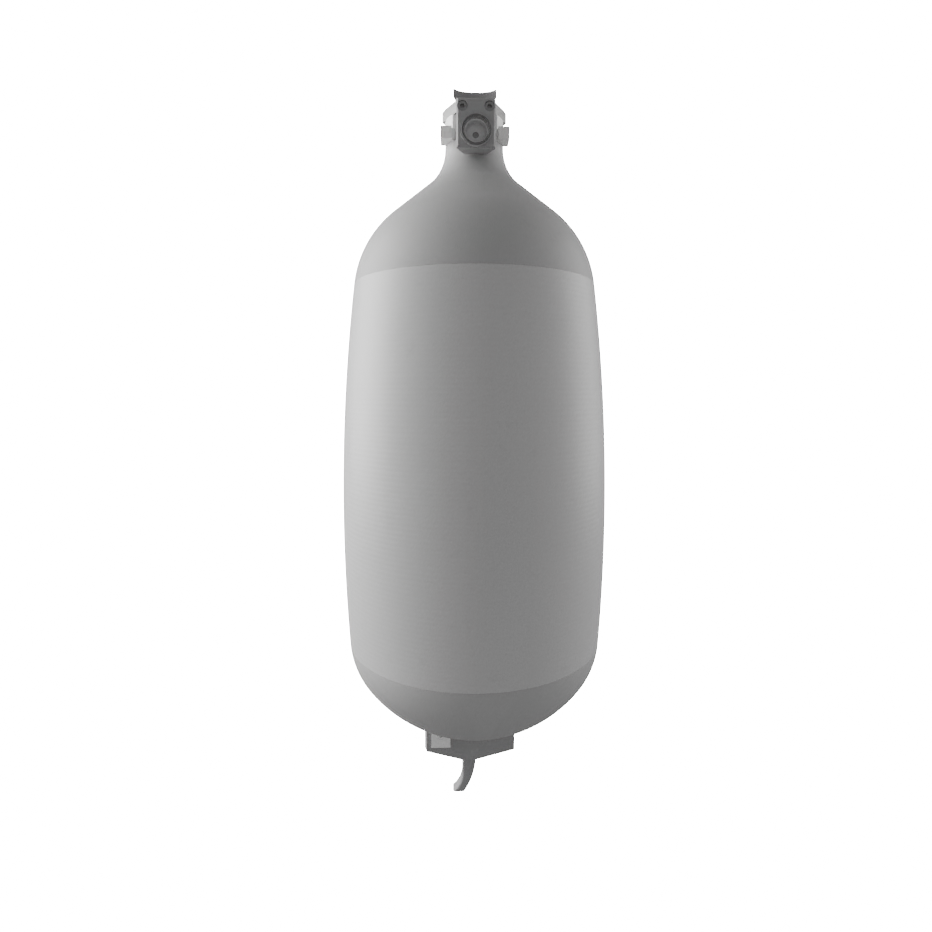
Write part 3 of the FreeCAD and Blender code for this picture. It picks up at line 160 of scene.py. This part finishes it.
def noise_group(name):
    """Speckle and slow cloud over Object coordinates.

    Color and Roughness vary about their given values, Height about a half.
    """
    group = bpy.data.node_groups.new(name, "ShaderNodeTree")
    face = group.interface
    for label, kind, value in (
        ("Color", "NodeSocketColor", (0.5, 0.5, 0.5, 1)),
        ("Scale", "NodeSocketFloat", 900.0),
        ("Contrast", "NodeSocketFloat", 0.1),
        ("Roughness", "NodeSocketFloat", 0.5),
        ("Roughness Spread", "NodeSocketFloat", 0.1),
    ):
        socket = face.new_socket(label, in_out="INPUT", socket_type=kind)
        socket.default_value = value
    face.new_socket("Color", in_out="OUTPUT", socket_type="NodeSocketColor")
    face.new_socket("Roughness", in_out="OUTPUT", socket_type="NodeSocketFloat")
    face.new_socket("Height", in_out="OUTPUT", socket_type="NodeSocketFloat")
    nodes, links = group.nodes, group.links
    given = nodes.new("NodeGroupInput")
    given.location = (-900, 0)
    place = nodes.new("ShaderNodeTexCoord")
    place.location = (-900, -300)
    speckle = nodes.new("ShaderNodeTexNoise")
    speckle.location = (-650, 100)
    speckle.inputs["Detail"].default_value = 3
    cloud = nodes.new("ShaderNodeTexNoise")
    cloud.location = (-650, -200)
    cloud.inputs["Scale"].default_value = 14
    cloud.inputs["Detail"].default_value = 6
    cloud.inputs["Roughness"].default_value = 0.6
    for texture in (speckle, cloud):
        links.new(place.outputs["Object"], texture.inputs["Vector"])
    links.new(given.outputs["Scale"], speckle.inputs["Scale"])
    both = nodes.new("ShaderNodeMix")
    both.location = (-450, 0)
    both.inputs["Factor"].default_value = 0.45
    links.new(speckle.outputs["Fac"], both.inputs["A"])
    links.new(cloud.outputs["Fac"], both.inputs["B"])
    centred = nodes.new("ShaderNodeMath")
    centred.operation = "SUBTRACT"
    centred.location = (-280, 0)
    centred.inputs[1].default_value = 0.5
    links.new(both.outputs["Result"], centred.inputs[0])
    swing = nodes.new("ShaderNodeMath")
    swing.operation = "MULTIPLY_ADD"
    swing.location = (-100, 100)
    swing.inputs[2].default_value = 1
    links.new(centred.outputs[0], swing.inputs[0])
    links.new(given.outputs["Contrast"], swing.inputs[1])
    shade = nodes.new("ShaderNodeVectorMath")
    shade.operation = "SCALE"
    shade.location = (100, 150)
    links.new(given.outputs["Color"], shade.inputs[0])
    links.new(swing.outputs[0], shade.inputs["Scale"])
    gloss = nodes.new("ShaderNodeMath")
    gloss.operation = "MULTIPLY_ADD"
    gloss.location = (100, -50)
    links.new(centred.outputs[0], gloss.inputs[0])
    links.new(given.outputs["Roughness Spread"], gloss.inputs[1])
    links.new(given.outputs["Roughness"], gloss.inputs[2])
    result = nodes.new("NodeGroupOutput")
    result.location = (350, 0)
    links.new(shade.outputs["Vector"], result.inputs["Color"])
    links.new(gloss.outputs[0], result.inputs["Roughness"])
    links.new(speckle.outputs["Fac"], result.inputs["Height"])
    return group


grain = noise_group("grain")


def scuff_group(name):
    """A mask of sparse rubbed patches over Object coordinates."""
    group = bpy.data.node_groups.new(name, "ShaderNodeTree")
    amount = group.interface.new_socket(
        "Amount", in_out="INPUT", socket_type="NodeSocketFloat",
    )
    amount.default_value = 0.3
    group.interface.new_socket("Mask", in_out="OUTPUT", socket_type="NodeSocketFloat")
    nodes, links = group.nodes, group.links
    given = nodes.new("NodeGroupInput")
    given.location = (-500, -200)
    place = nodes.new("ShaderNodeTexCoord")
    place.location = (-900, 0)
    patches = nodes.new("ShaderNodeTexNoise")
    patches.location = (-700, 0)
    patches.inputs["Scale"].default_value = 55
    patches.inputs["Detail"].default_value = 9
    patches.inputs["Roughness"].default_value = 0.72
    links.new(place.outputs["Object"], patches.inputs["Vector"])
    sparse = nodes.new("ShaderNodeMapRange")
    sparse.location = (-500, 0)
    sparse.interpolation_type = "SMOOTHSTEP"
    sparse.inputs["From Min"].default_value = 0.56
    sparse.inputs["From Max"].default_value = 0.72
    links.new(patches.outputs["Fac"], sparse.inputs["Value"])
    scaled = nodes.new("ShaderNodeMath")
    scaled.operation = "MULTIPLY"
    scaled.location = (-250, 0)
    links.new(sparse.outputs["Result"], scaled.inputs[0])
    links.new(given.outputs["Amount"], scaled.inputs[1])
    result = nodes.new("NodeGroupOutput")
    result.location = (0, 0)
    links.new(scaled.outputs[0], result.inputs["Mask"])
    return group


scuffs = scuff_group("scuffs")


def grained(
    name, colour, roughness, scale=900.0, contrast=0.1, spread=0.1,
    bump=0.05, metallic=0.0, rubbed=None, wear=0.3,
):
    """A finish whose colour, gloss and relief come from the grain group.

    Where rubbed gives a colour, it shows through in sparse scuffs.
    """
    material, shader = plain_material(name, colour, roughness)
    tree = material.node_tree
    shader.inputs["Metallic"].default_value = metallic
    effect = tree.nodes.new("ShaderNodeGroup")
    effect.name = "grain"
    effect.node_tree = grain
    effect.location = (-500, 100)
    effect.inputs["Color"].default_value = (*colour, 1)
    effect.inputs["Scale"].default_value = scale
    effect.inputs["Contrast"].default_value = contrast
    effect.inputs["Roughness"].default_value = roughness
    effect.inputs["Roughness Spread"].default_value = spread
    relief = tree.nodes.new("ShaderNodeBump")
    relief.name = "relief"
    relief.location = (-250, -200)
    relief.inputs["Strength"].default_value = bump
    relief.inputs["Distance"].default_value = 0.0005
    if rubbed:
        scuffed = tree.nodes.new("ShaderNodeGroup")
        scuffed.name = "scuffs"
        scuffed.node_tree = scuffs
        scuffed.location = (-500, 350)
        scuffed.inputs["Amount"].default_value = wear
        worn = tree.nodes.new("ShaderNodeMix")
        worn.name = "worn"
        worn.data_type = "RGBA"
        worn.location = (-250, 250)
        worn.inputs["B"].default_value = (*rubbed, 1)
        tree.links.new(scuffed.outputs["Mask"], worn.inputs["Factor"])
        tree.links.new(effect.outputs["Color"], worn.inputs["A"])
        tree.links.new(worn.outputs["Result"], shader.inputs["Base Color"])
    else:
        tree.links.new(effect.outputs["Color"], shader.inputs["Base Color"])
    tree.links.new(effect.outputs["Roughness"], shader.inputs["Roughness"])
    tree.links.new(effect.outputs["Height"], relief.inputs["Height"])
    tree.links.new(relief.outputs["Normal"], shader.inputs["Normal"])
    return material


def arc_points(centre, radius, start, end, steps):
    """Points of a circle in the radius-height plane, angles in degrees."""
    points = []
    for step in range(steps + 1):
        angle = math.radians(start + (end - start) * step / steps)
        points.append((
            centre[0] + radius * math.cos(angle),
            centre[1] + radius * math.sin(angle),
        ))
    return points


def spun(name, outline, material, body, replaced, steps=256):
    """A closed or pole-to-pole outline of (radius, height), spun about the axis."""
    shape = bmesh.new()
    verts = [shape.verts.new((radius, 0, height)) for radius, height in outline]
    chain = [shape.edges.new(pair) for pair in zip(verts, verts[1:])]
    bmesh.ops.spin(
        shape, geom=verts + chain, cent=(0, 0, 0), axis=(0, 0, 1),
        angle=math.tau, steps=steps, use_merge=True,
    )
    bmesh.ops.remove_doubles(shape, verts=shape.verts, dist=0.000005)
    bmesh.ops.recalc_face_normals(shape, faces=shape.faces)
    return settle(shape, name, material, body, replaced)


def refinish(nodes, material):
    """Give CAD nodes a finish and leave their shape alone."""
    for node in nodes:
        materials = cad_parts[node].data.materials
        materials.clear()
        materials.append(material)


sharp_angle = math.radians(35)


def settle(shape, name, material, body, replaced):
    """Turn a bmesh into a finished piece that rides on its body."""
    mesh = bpy.data.meshes.new(name)
    shape.to_mesh(mesh)
    shape.free()
    mesh.shade_smooth()
    mesh.set_sharp_from_angle(angle=sharp_angle)
    mesh.materials.append(material)
    piece = bpy.data.objects.new(name, mesh)
    scene.collection.objects.link(piece)
    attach(piece, body)
    if replaced:
        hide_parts(*replaced)
    return piece


mm = 0.001
barrel_radius = 102 * mm
barrel_sweep = 1450 * mm
widest = -35 * mm
wrap_low = -142 * mm
wrap_high = 132 * mm
wrap_depth = 4 * mm
shoulder_radius = 80 * mm
cone_slope = 49.5
neck_fillet = 40 * mm
neck_radius = 22.45 * mm
neck_top = 239 * mm
neck_chamfer = 0.6 * mm
bore_radius = 12.5 * mm
bore_depth = 40 * mm
cap_radius = 108.5 * mm
cap_centre = (0, -106 * mm)
knuckle_radius = 53.5 * mm
bulge_centre = (barrel_radius - barrel_sweep, widest)


def barrel_at(height, inset=0.0):
    """Radius of the bulged barrel at a height."""
    return bulge_centre[0] + math.sqrt((barrel_sweep - inset) ** 2 - (height - widest) ** 2)


lean = math.degrees(math.asin((wrap_high - widest) / barrel_sweep))
shoulder_centre = (
    bulge_centre[0] + (barrel_sweep - shoulder_radius) * math.cos(math.radians(lean)),
    bulge_centre[1] + (barrel_sweep - shoulder_radius) * math.sin(math.radians(lean)),
)
shoulder_arc = arc_points(shoulder_centre, shoulder_radius, lean, cone_slope, 26)
cone_foot = shoulder_arc[-1]
slope = math.radians(cone_slope)
crossing = cone_foot[1] + (cone_foot[0] - neck_radius) / math.tan(slope)
blend_top = crossing + neck_fillet * math.tan(slope / 2)
neck_arc = arc_points(
    (neck_radius + neck_fillet, blend_top), neck_fillet, 180 + cone_slope, 180, 22,
)
# the knuckle touches the barrel at the wrap's lower edge and the cap lower down
rise = math.asin((wrap_low - widest) / barrel_sweep)
knuckle_centre = (
    barrel_at(wrap_low) - knuckle_radius * math.cos(rise),
    wrap_low - knuckle_radius * math.sin(rise),
)
cap_turn = math.degrees(math.atan2(
    knuckle_centre[1] - cap_centre[1], knuckle_centre[0] - cap_centre[0],
))
groove = 0.05 * mm
shell_outline = arc_points(cap_centre, cap_radius, -90, cap_turn, 40)
shell_outline += arc_points(knuckle_centre, knuckle_radius, cap_turn, math.degrees(rise), 22)[1:]
shell_outline += [
    (barrel_at(wrap_low) - groove, wrap_low + groove / 2),
    (barrel_at(wrap_low, wrap_depth), wrap_low + groove / 2),
    (barrel_at(wrap_high, wrap_depth), wrap_high - groove / 2),
    (barrel_at(wrap_high) - groove, wrap_high - groove / 2),
]
shell_outline += shoulder_arc
shell_outline += neck_arc
shell_outline += [
    (neck_radius, neck_top - neck_chamfer),
    (neck_radius - neck_chamfer, neck_top),
    (bore_radius, neck_top),
    (bore_radius, neck_top - bore_depth),
    (0, neck_top - bore_depth),
]
shell_coat = grained(
    "satin_grey_coating", (0.42, 0.42, 0.42), 0.6,
    scale=700, contrast=0.10, spread=0.14, bump=0.04, rubbed=(0.34, 0.34, 0.34), wear=0.35,
)
shell_shader = shell_coat.node_tree.nodes["Principled BSDF"]
shell_shader.inputs["Coat Weight"].default_value = 0.05
shell_shader.inputs["Coat Roughness"].default_value = 0.22
spun(
    "shell_skin", shell_outline, shell_coat,
    "cylinder", ["cylinder_shell"],
)

# ---------------------------------------------------------- composite wrap
# Fibre tow wound in hoops over the barrel, level with the shell at both
# edges and sealed under a satin gelcoat that lets the windings show faintly.

edge_round = 0.16 * mm
edge_gap = 0.04 * mm
edge_margin = 0.7 * mm
inner_gap = 0.05 * mm
wrap_outline = [
    (barrel_at(wrap_low, wrap_depth) + inner_gap, wrap_low + edge_gap),
    (barrel_at(wrap_low) - edge_round, wrap_low + edge_gap),
    (barrel_at(wrap_low) - edge_round / 4, wrap_low + edge_gap + edge_round / 4),
]
wrap_steps = 60
for step in range(wrap_steps + 1):
    part = step / wrap_steps
    height = wrap_low + edge_margin + (wrap_high - wrap_low - 2 * edge_margin) * part
    wrap_outline.append((barrel_at(height), height))
wrap_outline += [
    (barrel_at(wrap_high) - edge_round / 4, wrap_high - edge_gap - edge_round / 4),
    (barrel_at(wrap_high) - edge_round, wrap_high - edge_gap),
    (barrel_at(wrap_high, wrap_depth) + inner_gap, wrap_high - edge_gap),
]
wrap_outline.append(wrap_outline[0])
gelcoat = grained(
    "hoop_wound_gelcoat", (0.54, 0.54, 0.54), 0.44,
    scale=1100, contrast=0.16, spread=0.12, bump=0.06, rubbed=(0.44, 0.44, 0.44), wear=0.3,
)
gel_tree = gelcoat.node_tree
winding_place = gel_tree.nodes.new("ShaderNodeTexCoord")
winding_place.location = (-1100, -350)
winding = gel_tree.nodes.new("ShaderNodeTexWave")
winding.name = "hoop_windings"
winding.bands_direction = "Z"
winding.wave_profile = "SIN"
winding.location = (-850, -350)
winding.inputs["Scale"].default_value = 90
winding.inputs["Distortion"].default_value = 0.6
winding.inputs["Detail"].default_value = 2
winding.inputs["Detail Scale"].default_value = 3
gel_tree.links.new(winding_place.outputs["Object"], winding.inputs["Vector"])
winding_relief = gel_tree.nodes.new("ShaderNodeBump")
winding_relief.location = (-400, -450)
winding_relief.inputs["Strength"].default_value = 0.12
winding_relief.inputs["Distance"].default_value = 0.0003
gel_tree.links.new(winding.outputs["Fac"], winding_relief.inputs["Height"])
gel_tree.links.new(
    winding_relief.outputs["Normal"], gel_tree.nodes["relief"].inputs["Normal"],
)
spun(
    "wrap_sleeve", wrap_outline, gelcoat,
    "cylinder", ["composite_wrap"],
)

# -------------------------------------------------------------- valve body
# Forged brass, turned and nickel plated, with two ears at the front whose
# channel takes the outlet block. Its edges are broken with a small radius.


flat_angle = math.radians(0.5)
rounded_angle = math.radians(28)
rounding_segments = 3


def eased(node, width, material, body, reshape=None):
    """A copy of a CAD node with its sharp edges rounded, reshaped first if asked."""
    shape = bmesh.new()
    shape.from_mesh(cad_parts[node].data)
    bmesh.ops.remove_doubles(shape, verts=shape.verts, dist=0.00001)
    bmesh.ops.dissolve_limit(
        shape, angle_limit=flat_angle, verts=shape.verts, edges=shape.edges,
    )
    if reshape:
        reshape(shape)
    bmesh.ops.recalc_face_normals(shape, faces=shape.faces)
    piece = settle(shape, node + "_finished", material, body, [node])
    rounding = piece.modifiers.new("eased_edges", "BEVEL")
    rounding.width = width
    rounding.segments = rounding_segments
    rounding.limit_method = "ANGLE"
    rounding.angle_limit = rounded_angle
    rounding.use_clamp_overlap = True
    rounding.harden_normals = True
    return piece


nickel = grained(
    "satin_nickel", (0.9, 0.9, 0.89), 0.5,
    scale=500, contrast=0.14, spread=0.2, bump=0.05, metallic=0.15,
    rubbed=(0.6, 0.58, 0.52), wear=0.35,
)
eased("valve_body", 0.5 * mm, nickel, "cylinder")
# The bonnet nut's nickel is a copy of the satin nickel darkened to about a third: painted shade.
nickel_painted_shade = grained(
    "nickel_painted_shade", (0.31, 0.31, 0.305), 0.45,
    scale=500, contrast=0.14, spread=0.2, bump=0.05, metallic=0.15,
    rubbed=(0.25, 0.245, 0.23), wear=0.35,
)
eased("bonnet_nut", 0.18 * mm, nickel_painted_shade, "cylinder")
eased("burst_plug", 0.25 * mm, nickel, "cylinder")

# ------------------------------------------------------------ outlet block
# Machined aluminium block, black anodised, with the raised sealing face
# round its mouth and two socket screws into the valve body. The threads were
# masked before the block was anodised and are bare metal.

anodised = grained(
    "black_anodising", (0.315, 0.315, 0.317), 0.48,
    scale=1400, contrast=0.25, spread=0.2, bump=0.05, rubbed=(0.46, 0.46, 0.46), wear=0.4,
)
eased("outlet_block", 0.35 * mm, anodised, "cylinder")

outlet_axis = 236.9 * mm
thread_major = 8.31 * mm
thread_minor = 7.7 * mm
thread_pitch = 1.337 * mm
thread_mouth = -37.0 * mm
thread_turns = 5
thread_step = 0.05 * mm
crest_start = 0.45 * thread_pitch
crest_end = 0.55 * thread_pitch
thread_end = thread_mouth + thread_turns * thread_pitch
lining_back = -29.3 * mm
lining_hole = 2.3 * mm
lining_floor = 0.4 * mm
thread_outline = [(thread_major, lining_back), (thread_major, thread_mouth)]
for turn in range(thread_turns):
    start = thread_mouth + turn * thread_pitch
    thread_outline.append((thread_major - thread_step, start))
    thread_outline.append((thread_minor, start + crest_start))
    thread_outline.append((thread_minor, start + crest_end))
thread_outline.append((thread_minor, thread_end))
thread_outline.append((lining_hole, lining_back - lining_floor))
thread_outline.append((lining_hole, lining_back))
thread_shape = bmesh.new()
thread_verts = [
    thread_shape.verts.new((radius, along, outlet_axis))
    for radius, along in thread_outline
]
thread_edges = [
    thread_shape.edges.new(pair) for pair in zip(thread_verts, thread_verts[1:] + thread_verts[:1])
]
bmesh.ops.spin(
    thread_shape, geom=thread_verts + thread_edges, cent=(0, 0, outlet_axis), axis=(0, 1, 0),
    angle=math.tau, steps=72, use_merge=True,
)
bmesh.ops.recalc_face_normals(thread_shape, faces=thread_shape.faces)
bare = grained(
    "bare_aluminium", (0.6, 0.6, 0.6), 0.4,
    scale=1400, contrast=0.12, spread=0.15, bump=0.04, rubbed=(0.48, 0.48, 0.48), wear=0.3,
)
settle(thread_shape, "outlet_threads", bare, "cylinder", [])

steel = grained(
    "bright_steel", (0.6, 0.6, 0.6), 0.32,
    scale=800, contrast=0.15, spread=0.2, bump=0.05, metallic=1.0,
)
oxide = grained(
    "black_oxide", (0.24, 0.24, 0.242), 0.4,
    scale=1200, contrast=0.25, spread=0.2, bump=0.05, rubbed=(0.42, 0.42, 0.42), wear=0.3,
)
eased("block_screws", 0.25 * mm, oxide, "cylinder")
eased("drilling_screw", 0.2 * mm, oxide, "cylinder")

nitrile = grained(
    "nitrile_rubber", (0.14, 0.14, 0.14), 0.55,
    scale=1500, contrast=0.3, spread=0.15, bump=0.1,
)
refinish(
    ("outlet_o_ring", "port_o_ring", "neck_o_ring", "bonnet_o_ring", "spindle_o_ring"), nitrile,
)

# --------------------------------------------------------------- handwheel
# Square wheel with hollow sides, cast and black, on the squared spindle and
# held down by a spring washer, a flat washer and a hexagon cap nut.

flare_start = 15.5 * mm
flare_end = 22.9 * mm
flare_lift = 1.2 * mm
flare_cuts = 6


def flare_corners(shape):
    """Sweep the wheel's four corners gently upward."""
    for turn in range(4):
        angle = math.radians(45 + 90 * turn)
        outward = Vector((math.cos(angle), math.sin(angle), 0))
        for cut in range(flare_cuts):
            reach = flare_start + (flare_end - flare_start) * cut / flare_cuts
            bmesh.ops.bisect_plane(
                shape, geom=shape.verts[:] + shape.edges[:] + shape.faces[:],
                plane_co=outward * reach, plane_no=outward,
            )
        for vert in shape.verts:
            part = (vert.co.dot(outward) - flare_start) / (flare_end - flare_start)
            if part > 0:
                vert.co.z += flare_lift * part ** 2


eased("handwheel", 0.3 * mm, anodised, "wheel", flare_corners)
eased("cap_nut", 0.1 * mm, anodised, "wheel")
eased("cap_washer", 0.15 * mm, steel, "wheel")
refinish(("valve_spindle", "handwheel_spring"), steel)

# ------------------------------------------------------------ base bracket
# Forged steel bracket with a hooked tail, powder coated black, bedded on a
# rubber pad and held by two socket screws into the base of the shell.

powder = grained(
    "black_powder_coat", (0.31, 0.31, 0.312), 0.55,
    scale=1000, contrast=0.25, spread=0.2, bump=0.15, rubbed=(0.48, 0.48, 0.48), wear=0.4,
)
eased("hook_bracket", 0.8 * mm, powder, "cylinder")
eased("bracket_screws", 0.3 * mm, steel, "cylinder")
# The clip is coloured near white as painted reflection: it stands in for the bright reflection on
# its metal.
clip_reflection_white = grained(
    "clip_painted_reflection", (0.92, 0.92, 0.91), 0.5,
    scale=900, contrast=0.06, spread=0.1, bump=0.04, rubbed=(0.7, 0.7, 0.7), wear=0.3,
)
eased("retaining_clip", 0.3 * mm, clip_reflection_white, "cylinder")
eased("clip_screw", 0.2 * mm, steel, "cylinder")
refinish(("bracket_pad",), nitrile)

# ------------------------------------------------------------ inner pieces
# Brass dip tube and seat plug, nylon seat and washer, and the burst disc:
# nothing of these shows from outside.

brass = grained(
    "turned_brass", (0.72, 0.52, 0.25), 0.35,
    scale=900, contrast=0.12, spread=0.15, bump=0.04, metallic=1.0,
)
nylon = grained(
    "white_nylon", (0.8, 0.79, 0.75), 0.5,
    scale=900, contrast=0.06, spread=0.1, bump=0.03,
)
refinish(("dip_tube", "seat_plug", "burst_disc"), brass)
refinish(("seat_insert", "thrust_washer", "burst_gasket"), nylon)
